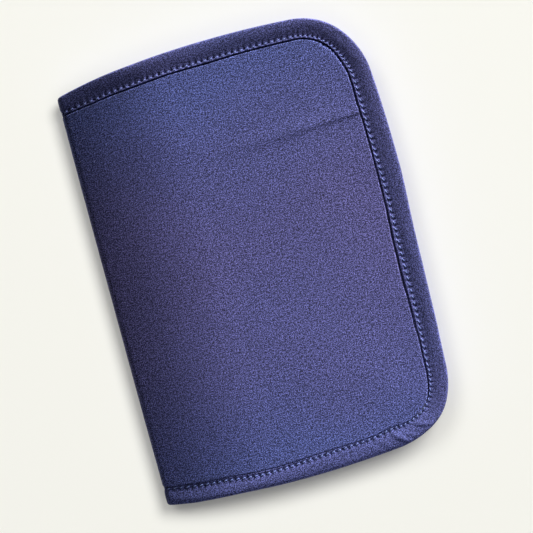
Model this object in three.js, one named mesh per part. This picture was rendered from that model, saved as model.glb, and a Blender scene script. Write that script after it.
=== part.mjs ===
// A travel document organizer: a padded cotton folder that closes like a book.
//
// It lies closed on its back cover. +X runs from the fold to the free edge, +Y runs up the fold and
// +Z up through the two covers. The origin is the centre of the footprint, on the table. Millimetres.
//
// Three bodies: the back half, the strip of the fold, and the front half. Each half is a laminate of
// cover, padding and lining with a binding round its three free sides, and carries its own pockets.
import * as THREE from "three";

// ---------------------------------------------------------------- driving dimensions

const WIDTH = 140; // closed, fold to free edge
const HEIGHT = 200; // at its tallest, a little left of the middle
const THICK = 20; // closed, empty
const CORNER_RADIUS = 30;
const BOW_CENTRE_X = 2; // where the top and bottom edges are furthest apart
const BOW_PER_MM2 = 0.0012; // how the top and bottom edges curve in, per square millimetre from there
const FREE_EDGE_BOW = 0.00035; // the same for the free edge, from its middle

const FOLD_RADIUS = 3.2; // outside of the fold
const FOLD_SLOPE = THREE.MathUtils.degToRad(16); // of the covers where they run into the fold
const FOLD_STRIP_HALF_ANGLE = THREE.MathUtils.degToRad(58); // the rigid part of the fold, each way

const BINDING_WIDTH = 9.4;
const BINDING_LIP = 0.55; // one folded layer of the binding
const BINDING_WEB = 1.1; // the same round the edge
const STITCH_INSET = 7.6; // the stitch line, from the outer edge
const THREAD_RADIUS = 0.14;
const EDGE_CLEARANCE = 0.3;

// Depths are measured from the outside of the cover inwards: on the flat of the page, and at the fold,
// where the padding is pressed thin.
const COVER = { page: [0, 1.05], fold: [0, 1.05] };
const COVER_MARGIN_DEPTH = 0.75; // where the cover goes under the binding
const PADDING = { page: [1.15, 3.75], fold: [1.15, 1.45] };
const LINING = { page: [3.85, 4.25], fold: [1.55, 1.85] };
const HALF_DEPTH = { page: 5, fold: 2.6 }; // outside to inside of the binding

const SHEET = 0.35; // pocket cloth
const SHEET_GAP = 0.25;
const FIRST_SHEET = LINING.page[1] + SHEET_GAP;
const POCKET_FOLD_SIDE_X = -54; // where every pocket is sewn down beside the fold
const TRIM_WIDTH = 6; // the tape round each pocket's mouth
const TRIM_LIP = 0.17;
const TRIM_CLEARANCE = 0.03;

const TICKET_POCKET_TOP = 72;
const PASSPORT_POCKET_TOP = 20;
const PASSPORT_CLEAR_DEPTH = 6;
const PASSPORT_RAMP = 10; // over which the passport pocket rises from its seams
const DOCUMENT_POCKET_TOP = 54;
const CARD_SLOT_TOPS = [32, 14, -4]; // back one first
const CARD_SLOT_DEPTH = 57; // mouth to the seam under it
const CARD_SLOT_FOLD_SIDE_X = -37;

// ---------------------------------------------------------------- the shape of the fold and the pages

const MID_Z = THICK / 2;
const FOLD_X = -WIDTH / 2 + FOLD_RADIUS; // the centre of the fold
const FOLD_END_X = FOLD_X - FOLD_RADIUS * Math.sin(FOLD_SLOPE);
const FOLD_END_Z = MID_Z - FOLD_RADIUS * Math.cos(FOLD_SLOPE);
const SHOULDER = (2 * FOLD_END_Z) / Math.tan(FOLD_SLOPE); // the length over which a page curves
const SHOULDER_X = FOLD_END_X + SHOULDER; // from here to the free edge the page is flat

const mix = (a, b, share) => a + (b - a) * share;
const clamp01 = (value) => Math.min(1, Math.max(0, value));
const shoulderShare = (x) => clamp01((SHOULDER_X - x) / SHOULDER);

// A point of the back half, at a depth from the outside of the cover at x.
function backPoint(x, y, depth) {
  const share = shoulderShare(x);
  const slope = share * Math.tan(FOLD_SLOPE);
  const length = Math.hypot(slope, 1);
  const outsideZ = FOLD_END_Z * share * share;
  return [x + (depth * slope) / length, y, outsideZ + depth / length];
}

// The front half is the back half turned over about the middle plane.
const frontPoint = (x, y, depth) => {
  const [px, py, pz] = backPoint(x, y, depth);
  return [px, py, THICK - pz];
};

const BACK = { at: backPoint };
const FRONT = { at: frontPoint };

// A layer's two depths at x, from its depths on the page and at the fold.
function layerDepths(layer, x) {
  const share = shoulderShare(x);
  return layer.page.map((depth, side) => mix(depth, layer.fold[side], share));
}

// A depth at x that keeps its distance from the lining.
const onLining = (depth, x) => depth - LINING.page[1] + layerDepths(LINING, x)[1];
const halfDepth = (x) => mix(HALF_DEPTH.page, HALF_DEPTH.fold, shoulderShare(x));

// ---------------------------------------------------------------- the outline

const topY = (x) => HEIGHT / 2 - BOW_PER_MM2 * (x - BOW_CENTRE_X) ** 2;
const edgeX = (y) => WIDTH / 2 - FREE_EDGE_BOW * y * y;
const topLean = (x) => Math.atan(2 * BOW_PER_MM2 * (x - BOW_CENTRE_X)); // how far the top edge has turned
const edgeLean = (y) => Math.atan(2 * FREE_EDGE_BOW * y);

// The corner is a circle that runs on from the top edge and into the free edge.
function fitCorner() {
  const corner = { x: WIDTH / 2 - CORNER_RADIUS, y: HEIGHT / 2 - CORNER_RADIUS, startTurn: 0, edgeTurn: 0 };
  for (let round = 0; round < 20; round++) {
    const startX = corner.x + CORNER_RADIUS * Math.sin(corner.startTurn);
    const endY = corner.y + CORNER_RADIUS * Math.sin(corner.edgeTurn);
    corner.startTurn = topLean(startX);
    corner.edgeTurn = edgeLean(endY);
    corner.y = topY(startX) - CORNER_RADIUS * Math.cos(corner.startTurn);
    corner.x = edgeX(endY) - CORNER_RADIUS * Math.cos(corner.edgeTurn);
  }
  return corner;
}

// The upper half of the outline, from the fold to the middle of the free edge: points with the way out.
function makeOutline() {
  const corner = fitCorner();
  const cornerStartX = corner.x + CORNER_RADIUS * Math.sin(corner.startTurn);
  const cornerEndY = corner.y + CORNER_RADIUS * Math.sin(corner.edgeTurn);
  const between = (from, to, steps) => Array.from({ length: steps + 1 }, (_, i) => mix(from, to, i / steps));
  const onTopEdge = (x) => {
    const lean = x === FOLD_END_X ? 0 : topLean(x); // at the fold the way in runs straight along it
    return { x, y: topY(x), nx: Math.sin(lean), ny: Math.cos(lean) };
  };
  const onCorner = (turn) => {
    const [nx, ny] = [Math.sin(turn), Math.cos(turn)];
    return { x: corner.x + CORNER_RADIUS * nx, y: corner.y + CORNER_RADIUS * ny, nx, ny };
  };
  const onFreeEdge = (y) => ({ x: edgeX(y), y, nx: Math.cos(edgeLean(y)), ny: Math.sin(edgeLean(y)) });
  return [
    ...between(FOLD_END_X, SHOULDER_X, 8).map(onTopEdge),
    ...between(SHOULDER_X + 14, cornerStartX - 14, 2).map(onTopEdge),
    ...between(corner.startTurn, Math.PI / 2 - corner.edgeTurn, 7).map(onCorner),
    ...between(cornerEndY * 0.66, 0, 2).map(onFreeEdge),
  ];
}

const OUTLINE = makeOutline();

// The outline moved in by a distance, as a list of x and half height, with x always growing.
function insetOutline(inset) {
  return OUTLINE.map((p) => ({ x: p.x - inset * p.nx, y: p.y - inset * p.ny }));
}

// The same, from startX on.
function stationsFrom(startX, inset) {
  const line = insetOutline(inset);
  const next = line.findIndex((p) => p.x > startX + 0.5);
  if (startX <= line[0].x) return line;
  const [a, b] = [line[next - 1], line[next]];
  const share = (startX - a.x) / (b.x - a.x);
  return [{ x: startX, y: mix(a.y, b.y, share) }, ...line.slice(next)];
}

// ---------------------------------------------------------------- solids

const sumOf = (values) => values.reduce((sum, value) => sum + value, 0);

// Six times the volume that the faces enclose: negative when they face inwards.
function enclosed(points, faces) {
  const triple = ([ax, ay, az], [bx, by, bz], [cx, cy, cz]) =>
    ax * (by * cz - bz * cy) + ay * (bz * cx - bx * cz) + az * (bx * cy - by * cx);
  return sumOf(faces.map((face) => triple(...face.map((i) => points[i]))));
}

function meshOf(name, points, faces, material) {
  const outward = enclosed(points, faces) > 0 ? faces : faces.map(([a, b, c]) => [a, c, b]);
  const geometry = new THREE.BufferGeometry();
  geometry.setAttribute("position", new THREE.Float32BufferAttribute(points.flat(), 3));
  geometry.setIndex(outward.flat());
  geometry.computeVertexNormals();
  const mesh = new THREE.Mesh(geometry, material);
  mesh.name = name;
  return mesh;
}

// A closed solid from rings of equally many points: its ends are capped by the given triangles of a ring.
function solidOfRings(name, rings, capFaces, material) {
  const count = rings[0].length;
  const faces = [];
  for (let r = 0; r + 1 < rings.length; r++) {
    for (let i = 0; i < count; i++) {
      const j = (i + 1) % count;
      const [a, b] = [r * count + i, r * count + j];
      faces.push([a, b, b + count], [a, b + count, a + count]);
    }
  }
  const last = (rings.length - 1) * count;
  for (const [a, b, c] of capFaces) {
    faces.push([a, c, b], [last + a, last + b, last + c]);
  }
  return meshOf(name, rings.flat(), faces, material);
}

const cross2 = (a, b, c) => (b[0] - a[0]) * (c[1] - a[1]) - (b[1] - a[1]) * (c[0] - a[0]);
const signedArea = (section) =>
  sumOf(section.map((p, i) => cross2(section[0], p, section[(i + 1) % section.length]))) / 2;

// The triangles that close a section of [across, depth] points, each in the order of the section's ring.
// Every point is kept, so that the cap meets each side face of the ring along its whole edge.
function capOf(section) {
  const turn = Math.sign(signedArea(section));
  const left = section.map((_, i) => i);
  const inside = (tri, i) => {
    const [a, b, c] = tri.map((k) => section[k]);
    const p = section[i];
    return turn * cross2(a, b, p) >= 0 && turn * cross2(b, c, p) >= 0 && turn * cross2(c, a, p) >= 0;
  };
  const faces = [];
  while (left.length > 3) {
    const ears = left.map((_, k) => [left.at(k - 1), left[k], left[(k + 1) % left.length]]);
    const size = (tri) => turn * cross2(...tri.map((i) => section[i]));
    const free = ears.filter((tri) => size(tri) > 1e-6 && !left.some((i) => !tri.includes(i) && inside(tri, i)));
    const ear = free.reduce((best, tri) => (size(tri) > size(best) ? tri : best));
    faces.push(ear);
    left.splice(left.indexOf(ear[1]), 1);
  }
  return [...faces, left];
}

const QUAD_CAP = [[0, 1, 2], [0, 2, 3]];

// A layer of cloth over a page, between two depths that may change with x.
function clothLayer(name, half, material, spec) {
  const { inset, startX = -Infinity, top = Infinity, bottom = -Infinity, depths } = spec;
  const rings = stationsFrom(startX, inset).map(({ x, y }) => {
    const [outer, inner] = depths(x);
    const high = Math.min(Math.max(y, 0.5), top);
    const low = Math.max(-Math.max(y, 0.5), bottom);
    return [half.at(x, low, outer), half.at(x, high, outer), half.at(x, high, inner), half.at(x, low, inner)];
  });
  return solidOfRings(name, rings, QUAD_CAP, material);
}

// A section swept round the three free sides of a page, from the fold's top end to its bottom end.
function roundThePage(name, half, material, section) {
  const corner = (p, mirrored) => (point) => {
    const [inset, depth] = point;
    const x = p.x - inset * p.nx;
    const y = (p.y - inset * p.ny) * (mirrored ? -1 : 1);
    return half.at(x, y, depth(x));
  };
  const upper = OUTLINE.map((p) => section.map(corner(p, false)));
  const lower = OUTLINE.slice(0, -1).map((p) => section.map(corner(p, true))).reverse();
  const flat = section.map(([inset, depth]) => [inset, depth(FOLD_END_X)]);
  return solidOfRings(name, [...upper, ...lower], capOf(flat), material);
}

// ---------------------------------------------------------------- materials

const cloth = (colour, roughness) => new THREE.MeshStandardMaterial({ color: colour, roughness, metalness: 0 });
const NAVY_COTTON = cloth(0x55588c, 0.9);
const BINDING_COTTON = cloth(0x4c4f82, 0.9);
const LINING_COTTON = cloth(0x5f678c, 0.85);
const FLEECE = cloth(0xd9d8d2, 1);
const THREAD = cloth(0x7f86c8, 0.6);

// ---------------------------------------------------------------- the laminate of a half

const constant = (value) => () => value;
const fromInside = (value) => (x) => halfDepth(x) - value;

// The cover is full thickness inside the binding, and steps back under the binding's lip.
const COVER_STEP_INSET = BINDING_WIDTH + EDGE_CLEARANCE;
const LAMINATE_INSET = BINDING_WEB + 0.2;

function coverOf(name, half) {
  const panel = insetOutline(COVER_STEP_INSET);
  const margin = insetOutline(LAMINATE_INSET);
  const stepDepth = COVER_MARGIN_DEPTH;
  const rings = margin.map((m, i) => {
    const p = panel[i];
    const [mx, my] = [Math.max(m.x, p.x), Math.max(m.y, 0.9)];
    const py = Math.max(p.y, 0.5);
    const back = COVER.page[1];
    return [
      half.at(mx, -my, stepDepth), half.at(p.x, -py, stepDepth), half.at(p.x, -py, 0),
      half.at(p.x, py, 0), half.at(p.x, py, stepDepth), half.at(mx, my, stepDepth),
      half.at(mx, my, back), half.at(mx, -my, back),
    ];
  });
  const cap = [[0, 1, 7], [1, 4, 7], [1, 2, 3], [1, 3, 4], [4, 5, 6], [4, 6, 7]];
  return solidOfRings(name, rings, cap, NAVY_COTTON);
}

// The binding's section: a lip outside, a web round the edge and a lip inside, with a groove for each thread.
const GROOVE = { half: 0.4, depth: 0.32 };
function lipFace(depth) {
  return [
    [STITCH_INSET + GROOVE.half, depth(0)],
    [STITCH_INSET + GROOVE.half, depth(GROOVE.depth)],
    [STITCH_INSET - GROOVE.half, depth(GROOVE.depth)],
    [STITCH_INSET - GROOVE.half, depth(0)],
    [1.2, depth(0)],
    [0.35, depth(0.35)],
    [0, depth(1)],
  ];
}
const BINDING_SECTION = [
  [BINDING_WIDTH, constant(0)],
  ...lipFace(constant),
  ...lipFace(fromInside).reverse(),
  [BINDING_WIDTH, fromInside(0)],
  [BINDING_WIDTH, fromInside(BINDING_LIP)],
  [BINDING_WEB, fromInside(BINDING_LIP)],
  [BINDING_WEB, constant(BINDING_LIP)],
  [BINDING_WIDTH, constant(BINDING_LIP)],
];

// A thread lies in its groove, as a fine six-sided cord.
function threadSection(depth) {
  return Array.from({ length: 6 }, (_, i) => {
    const angle = (i * Math.PI) / 3;
    const across = STITCH_INSET + THREAD_RADIUS * Math.cos(angle);
    return [across, depth(THREAD_RADIUS * (1 + Math.sin(angle)) + 0.02)];
  });
}

function laminateOf(side, half) {
  const layer = (name, spec, startX, material) =>
    clothLayer(`${side}_${name}`, half, material, {
      inset: LAMINATE_INSET + 0.1,
      startX,
      depths: (x) => layerDepths(spec, x),
    });
  return [
    coverOf(`${side}_cover`, half),
    layer("padding", PADDING, FOLD_END_X + 4, FLEECE),
    layer("lining", LINING, -Infinity, LINING_COTTON),
    roundThePage(`${side}_binding`, half, BINDING_COTTON, BINDING_SECTION),
    roundThePage(`${side}_needle_thread`, half, THREAD, threadSection(constant)),
    roundThePage(`${side}_bobbin_thread`, half, THREAD, threadSection(fromInside)),
  ];
}

// ---------------------------------------------------------------- pockets

const POCKET_INSET = BINDING_WIDTH + EDGE_CLEARANCE;

// A flat pocket: a sheet over the page, open along its top.
const pageWide = { startX: POCKET_FOLD_SIDE_X, bottom: -Infinity };
const cardWide = (top) => ({ startX: CARD_SLOT_FOLD_SIDE_X, bottom: top - CARD_SLOT_DEPTH });

// Where the outline's stations are high enough for a mouth at a height.
function stationsAcross(startX, top) {
  const reach = Math.max(Math.abs(top), Math.abs(top - TRIM_WIDTH)) + 1;
  return stationsFrom(startX, POCKET_INSET).filter((p) => p.y >= reach).map((p) => p.x);
}

// The tape round a pocket's mouth, a U over the sheet's top edge. depthAt gives the sheet's outer depth at x.
function pocketTrim(name, half, xs, top, depthAt) {
  const inner = SHEET + TRIM_CLEARANCE;
  const section = [
    [top - TRIM_WIDTH, -TRIM_CLEARANCE - TRIM_LIP],
    [top - TRIM_WIDTH, -TRIM_CLEARANCE],
    [top + TRIM_CLEARANCE, -TRIM_CLEARANCE],
    [top + TRIM_CLEARANCE, inner],
    [top - TRIM_WIDTH, inner],
    [top - TRIM_WIDTH, inner + TRIM_LIP],
    [top + TRIM_CLEARANCE + TRIM_LIP, inner + TRIM_LIP],
    [top + TRIM_CLEARANCE + TRIM_LIP, -TRIM_CLEARANCE - TRIM_LIP],
  ];
  const rings = xs.map((x) => section.map(([y, depth]) => half.at(x, y, depthAt(x) + depth)));
  return solidOfRings(name, rings, capOf(section), BINDING_COTTON);
}

function flatPocketWithTrim(name, half, top, outer, { startX, bottom }) {
  const depths = (x) => [onLining(outer, x), onLining(outer + SHEET, x)];
  const outside = (x) => depths(x)[0];
  return [
    clothLayer(name, half, NAVY_COTTON, { inset: POCKET_INSET, startX, top, bottom, depths }),
    pocketTrim(`${name}_trim`, half, stationsAcross(startX, top), top, outside),
  ];
}

// The passport pocket stands up from its seams, to leave room for a passport.
const PASSPORT_SEAM_DEPTH = FIRST_SHEET + SHEET + SHEET_GAP;
const PASSPORT_RISE = PASSPORT_CLEAR_DEPTH - SHEET_GAP;
const passportEdgeX = insetOutline(POCKET_INSET).at(-1).x;
const ramp = (distance) => Math.sin((Math.PI / 2) * clamp01(distance / PASSPORT_RAMP)) ** 2;

function passportDepth(x, aboveSeam) {
  const share = ramp(x - POCKET_FOLD_SIDE_X) * ramp(passportEdgeX - x) * ramp(aboveSeam);
  return onLining(PASSPORT_SEAM_DEPTH, x) + PASSPORT_RISE * share;
}

const QUARTERS = [0.25, 0.5, 0.75, 1];
const PASSPORT_XS = [
  POCKET_FOLD_SIDE_X,
  ...QUARTERS.map((share) => POCKET_FOLD_SIDE_X + share * PASSPORT_RAMP),
  ...[-30, -14, 2, 18, 34],
  ...QUARTERS.toReversed().map((share) => passportEdgeX - share * PASSPORT_RAMP),
  passportEdgeX - 0.5,
];

function passportPocket(name, half) {
  const rise = [0, ...QUARTERS].map((share) => share * PASSPORT_RAMP);
  const line = insetOutline(POCKET_INSET);
  const halfHeightAt = (x) => {
    const next = Math.max(1, line.findIndex((p) => p.x >= x));
    const [a, b] = [line[next - 1], line[next]];
    return mix(a.y, b.y, (x - a.x) / (b.x - a.x));
  };
  const rings = PASSPORT_XS.map((x) => {
    const seamY = -halfHeightAt(x);
    const ys = [...rise.map((up) => seamY + up), PASSPORT_POCKET_TOP];
    const outer = ys.map((y) => half.at(x, y, passportDepth(x, y - seamY)));
    const inner = ys.map((y) => half.at(x, y, passportDepth(x, y - seamY) + SHEET));
    return [...outer, ...inner.reverse()];
  });
  const cap = [];
  const count = rings[0].length;
  for (let i = 0; i + 1 < count / 2; i++) {
    cap.push([i, i + 1, count - 2 - i], [i, count - 2 - i, count - 1 - i]);
  }
  return solidOfRings(name, rings, cap, NAVY_COTTON);
}

// The seam that holds a pocket down beside the fold: one thread, standing on the pocket cloth.
const SEAM_MARGIN = 1.6;
function foldSideSeam(name, half, startX, ends, depth) {
  const x = startX + SEAM_MARGIN;
  const base = onLining(depth, x) + 0.05;
  const section = Array.from({ length: 6 }, (_, i) => {
    const angle = (i * Math.PI) / 3;
    return [x + THREAD_RADIUS * Math.cos(angle), base + THREAD_RADIUS * (1 + Math.sin(angle))];
  });
  const rings = ends.map((y) => section.map(([px, d]) => half.at(px, y, d)));
  return solidOfRings(name, rings, capOf(section), THREAD);
}

// The seam under a card slot, from beside the fold to the binding.
function slotBottomSeam(name, half, y, depth) {
  const stations = stationsAcross(CARD_SLOT_FOLD_SIDE_X, y);
  const [first, last] = [stations[0] + 2 * SEAM_MARGIN, stations.at(-1) - SEAM_MARGIN];
  const xs = [first, ...stations.filter((x) => x > first + 1 && x < last - 1), last];
  const rings = xs.map((x) =>
    Array.from({ length: 6 }, (_, i) => {
      const angle = (i * Math.PI) / 3;
      const rise = 0.05 + THREAD_RADIUS * (1 + Math.sin(angle));
      return half.at(x, y + THREAD_RADIUS * Math.cos(angle), onLining(depth, x) + rise);
    }),
  );
  const hexagon = [[0, 1, 2], [0, 2, 3], [0, 3, 4], [0, 4, 5]];
  return solidOfRings(name, rings, hexagon, THREAD);
}

// ---------------------------------------------------------------- the fold

// A piece of the fold between two radii, from its lower to its upper edge and between two heights.
function foldStrip(name, radii, heights, material) {
  const steps = 10;
  const rings = Array.from({ length: steps + 1 }, (_, i) => {
    const angle = mix(-FOLD_STRIP_HALF_ANGLE, FOLD_STRIP_HALF_ANGLE, i / steps);
    const at = (radius, y) => [FOLD_X - radius * Math.cos(angle), y, MID_Z + radius * Math.sin(angle)];
    const [inner, outer] = radii;
    const [low, high] = heights;
    return [at(outer, low), at(outer, high), at(inner, high), at(inner, low)];
  });
  return solidOfRings(name, rings, QUAD_CAP, material);
}

// The binding over an end of the fold: a U round the ends of the cover and the lining.
function foldBinding(name, sign) {
  const end = OUTLINE[0].y;
  const outside = FOLD_RADIUS;
  const inside = FOLD_RADIUS - HALF_DEPTH.fold;
  const section = [
    [end - BINDING_WIDTH, outside], [end - 0.5, outside], [end, outside - 0.5],
    [end, inside + 0.5], [end - 0.5, inside], [end - BINDING_WIDTH, inside],
    [end - BINDING_WIDTH, inside + 0.3], [end - BINDING_WEB, inside + 0.3],
    [end - BINDING_WEB, outside - BINDING_LIP], [end - BINDING_WIDTH, outside - BINDING_LIP],
  ];
  const steps = 10;
  const rings = Array.from({ length: steps + 1 }, (_, i) => {
    const angle = mix(-FOLD_STRIP_HALF_ANGLE, FOLD_STRIP_HALF_ANGLE, i / steps);
    return section.map(([y, radius]) => [
      FOLD_X - radius * Math.cos(angle), sign * y, MID_Z + radius * Math.sin(angle),
    ]);
  });
  return solidOfRings(name, rings, capOf(section), BINDING_COTTON);
}

function foldPieces() {
  const panelEnd = OUTLINE[0].y - COVER_STEP_INSET;
  const marginEnd = OUTLINE[0].y - LAMINATE_INSET;
  const radius = (depth) => FOLD_RADIUS - depth;
  const between = ([outer, inner], end) => [[radius(inner), radius(outer)], [-end, end]];
  return [
    foldStrip("spine_cover", ...between(COVER.fold, panelEnd), NAVY_COTTON),
    foldStrip("spine_interlining", ...between(PADDING.fold, marginEnd), FLEECE),
    foldStrip("spine_lining", ...between(LINING.fold, marginEnd), LINING_COTTON),
    foldBinding("spine_binding_top", 1),
    foldBinding("spine_binding_bottom", -1),
  ];
}

// ---------------------------------------------------------------- the assembly

const organizer = new THREE.Group();

const backHalf = new THREE.Group();
backHalf.add(
  ...laminateOf("back", BACK),
  ...flatPocketWithTrim("ticket_pocket", BACK, TICKET_POCKET_TOP, FIRST_SHEET, pageWide),
  passportPocket("passport_pocket", BACK),
  pocketTrim("passport_pocket_trim", BACK, PASSPORT_XS, PASSPORT_POCKET_TOP, (x) =>
    passportDepth(x, PASSPORT_RAMP),
  ),
);

const fold = new THREE.Group();
fold.add(...foldPieces());

const LAYER = SHEET + SHEET_GAP;
const LAST_SLOT_TOP = CARD_SLOT_TOPS.at(-1);
const CARD_SEAM_ENDS = [LAST_SLOT_TOP - CARD_SLOT_DEPTH + SEAM_MARGIN, LAST_SLOT_TOP - TRIM_WIDTH - 1];
const FRONT_SLOT_DEPTH = FIRST_SHEET + CARD_SLOT_TOPS.length * LAYER + SHEET; // its inner face
const frontHalf = new THREE.Group();
frontHalf.add(
  ...laminateOf("front", FRONT),
  ...flatPocketWithTrim("document_pocket", FRONT, DOCUMENT_POCKET_TOP, FIRST_SHEET, pageWide),
  ...CARD_SLOT_TOPS.flatMap((top, i) =>
    flatPocketWithTrim(`card_slot_${i + 1}`, FRONT, top, FIRST_SHEET + (i + 1) * LAYER, cardWide(top)),
  ),
  foldSideSeam("card_slot_side_thread", FRONT, CARD_SLOT_FOLD_SIDE_X, CARD_SEAM_ENDS, FRONT_SLOT_DEPTH),
  slotBottomSeam("card_slot_bottom_thread", FRONT, CARD_SEAM_ENDS[0], FRONT_SLOT_DEPTH),
);

organizer.add(backHalf, fold, frontHalf);
export default organizer;
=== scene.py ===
"""A travel document organizer: a padded cotton folder, closed, lying on a pale floor.

Lengths are in millimetres, and turn into metres where a mesh is made. Bumps, the floor, the lights
and the camera are in metres. A half of the folder is described flat, as a page: x across it from the
fold to the free edge, y up it, and a depth measured inwards from the outside of the cover. on_half()
puts such points in space.
"""

import math

import bpy
import numpy as np
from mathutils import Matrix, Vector


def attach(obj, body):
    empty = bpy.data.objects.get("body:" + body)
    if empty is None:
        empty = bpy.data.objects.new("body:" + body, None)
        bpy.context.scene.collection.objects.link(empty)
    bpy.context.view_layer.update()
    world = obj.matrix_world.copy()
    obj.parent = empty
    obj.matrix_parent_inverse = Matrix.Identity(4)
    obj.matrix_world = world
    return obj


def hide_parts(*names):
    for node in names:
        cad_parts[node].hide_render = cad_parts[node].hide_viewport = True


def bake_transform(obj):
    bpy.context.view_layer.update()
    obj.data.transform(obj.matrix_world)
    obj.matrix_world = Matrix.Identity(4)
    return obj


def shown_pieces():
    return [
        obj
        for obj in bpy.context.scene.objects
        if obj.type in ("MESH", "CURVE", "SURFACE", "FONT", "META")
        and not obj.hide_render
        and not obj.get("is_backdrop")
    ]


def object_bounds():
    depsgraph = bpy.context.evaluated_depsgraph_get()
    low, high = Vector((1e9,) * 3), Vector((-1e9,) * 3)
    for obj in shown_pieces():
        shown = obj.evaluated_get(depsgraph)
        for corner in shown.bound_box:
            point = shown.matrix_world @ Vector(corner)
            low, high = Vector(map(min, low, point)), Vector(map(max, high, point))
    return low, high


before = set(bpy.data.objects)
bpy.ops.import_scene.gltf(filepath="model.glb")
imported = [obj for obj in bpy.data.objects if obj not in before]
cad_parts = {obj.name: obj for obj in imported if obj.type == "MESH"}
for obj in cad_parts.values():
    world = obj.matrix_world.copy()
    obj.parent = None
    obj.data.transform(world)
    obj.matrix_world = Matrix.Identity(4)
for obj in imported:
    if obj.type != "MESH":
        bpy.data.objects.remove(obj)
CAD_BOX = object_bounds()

MM = 0.001

# ---------------------------------------------------------------- sizes, as the CAD model has them

LOW, HIGH = (np.array(corner) / MM for corner in CAD_BOX)
WIDTH, HEIGHT, THICK = HIGH - LOW
MID_Z = THICK / 2
FOLD_RADIUS = 3.2
FOLD_SLOPE = math.radians(16)
FOLD_X = LOW[0] + FOLD_RADIUS
END_X = FOLD_X - FOLD_RADIUS * math.sin(FOLD_SLOPE)
END_Z = MID_Z - FOLD_RADIUS * math.cos(FOLD_SLOPE)
SHOULDER = 2 * END_Z / math.tan(FOLD_SLOPE)
SHOULDER_X = END_X + SHOULDER
START_X = END_X - FOLD_RADIUS * (math.pi / 2 - FOLD_SLOPE)

EDGE_X = WIDTH / 2 - 0.5
CORNER_RADIUS = 32.3
BOW_CENTRE_X = 2
BOW = 0.0012
FREE_EDGE_BOW = 0.00035
FLARE = 0.85  # how much taller each half grows towards the fold
FLARE_X = -30  # where that starts
FLARE_REACH = 30
SKEW = 0.016  # the cloth of both halves is cut a little off square
DROP = 0.4  # how low both ends of the fold sit
DROP_X = -38
DROP_REACH = 26
HAIR = 0.05  # how far short of their outline's end the sheets stop

COVER_SINK = 0.3  # how much lower the cover lies beside the binding than in the middle
TUCK = 1.2  # the cover's depth under the binding
TUCKED_TO = 2.3  # how near the outer edge the layers under the binding reach
CREASE_Y = 50  # where an inner pocket's upper edge shows through the front cover

LINING_FACE = (4.25, 1.85)  # on the page, and in the fold
INNER_FACE = (5.7, 2.6)  # the same for the inside of the binding
POCKET_X = -54  # the pockets' side beside the fold
CARD_X = -37  # the same for the card slots
TICKET_TOP = 72
PASSPORT_TOP = 20
DOCUMENT_TOP = 54
CARD_TOPS = (32, 14, -4)
CARD_DEPTH = 57  # from a card slot's mouth to the seam under it
SHEET = 0.35  # the pocket cloth's thickness
LAYER = 0.6  # from one sheet to the next
FIRST_SHEET = 4.5
TRIM = 6  # how far the tape reaches below a pocket's mouth


def smooth(t):
    t = np.clip(t, 0, 1)
    return t * t * (3 - 2 * t)


def ripple(x, y, seed, length, waves=7):
    """A smooth uneven surface of about unit height, with bumps of about the given length."""
    rng = np.random.RandomState(seed)
    total = np.zeros(np.broadcast(x, y).shape)
    for _ in range(waves):
        angle, phase = rng.uniform(0, 2 * math.pi, 2)
        k = 2 * math.pi / (length * rng.uniform(0.7, 1.6))
        total = total + np.sin(k * (x * math.cos(angle) + y * math.sin(angle)) + phase)
    return total / math.sqrt(waves)


# ---------------------------------------------------------------- the shape of a half


def shoulder_share(x):
    return np.clip((SHOULDER_X - x) / SHOULDER, 0, 1)


def taper(pair, x):
    """A depth that goes from its value on the page to its value at the fold."""
    share = shoulder_share(x)
    return pair[0] * (1 - share) + pair[1] * share


def on_half(x, y, depth, front):
    """Page points in space, in millimetres. Left of END_X the page runs round the fold."""
    x, y, depth = np.broadcast_arrays(*(np.asarray(a, float) for a in (x, y, depth)))
    across = np.clip((x - END_X) / WIDTH, 0, 1)
    y = y + SKEW * x - DROP * smooth((DROP_X - x) / DROP_REACH)
    x = x + SKEW * y * across
    share = shoulder_share(x)
    slope = share * math.tan(FOLD_SLOPE)
    length = np.hypot(slope, 1)
    page_x = x + depth * slope / length
    page_z = END_Z * share**2 + depth / length
    turn = (x - START_X) / FOLD_RADIUS
    radius = FOLD_RADIUS - depth
    fold_x = FOLD_X - radius * np.cos(turn)
    fold_z = MID_Z - radius * np.sin(turn)
    in_fold = x < END_X
    z = np.where(in_fold, fold_z, page_z)
    return np.stack([np.where(in_fold, fold_x, page_x), y, THICK - z if front else z], -1)


def top_y(x):
    return HEIGHT / 2 - BOW * (x - BOW_CENTRE_X) ** 2 + FLARE * smooth((FLARE_X - x) / FLARE_REACH)


def edge_x(y):
    return EDGE_X - FREE_EDGE_BOW * y * y


CORNER_ROUNDS = 30  # enough for the corner's fit to settle


def fit_corner():
    """The corner's centre, and how far the top and free edges lean where it starts and ends."""
    cx, cy, lean, tilt = EDGE_X - CORNER_RADIUS, HEIGHT / 2 - CORNER_RADIUS, 0.0, 0.0
    for _ in range(CORNER_ROUNDS):
        start_x = cx + CORNER_RADIUS * math.sin(lean)
        end_y = cy + CORNER_RADIUS * math.sin(tilt)
        lean = math.atan(2 * BOW * (start_x - BOW_CENTRE_X))
        tilt = math.atan(2 * FREE_EDGE_BOW * end_y)
        cy = float(top_y(start_x)) - CORNER_RADIUS * math.cos(lean)
        cx = float(edge_x(end_y)) - CORNER_RADIUS * math.cos(tilt)
    return cx, cy, lean, tilt


CORNER_X, CORNER_Y, CORNER_LEAN, CORNER_TILT = fit_corner()
CORNER_START_X = CORNER_X + CORNER_RADIUS * math.sin(CORNER_LEAN)
CORNER_END_Y = CORNER_Y + CORNER_RADIUS * math.sin(CORNER_TILT)


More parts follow.
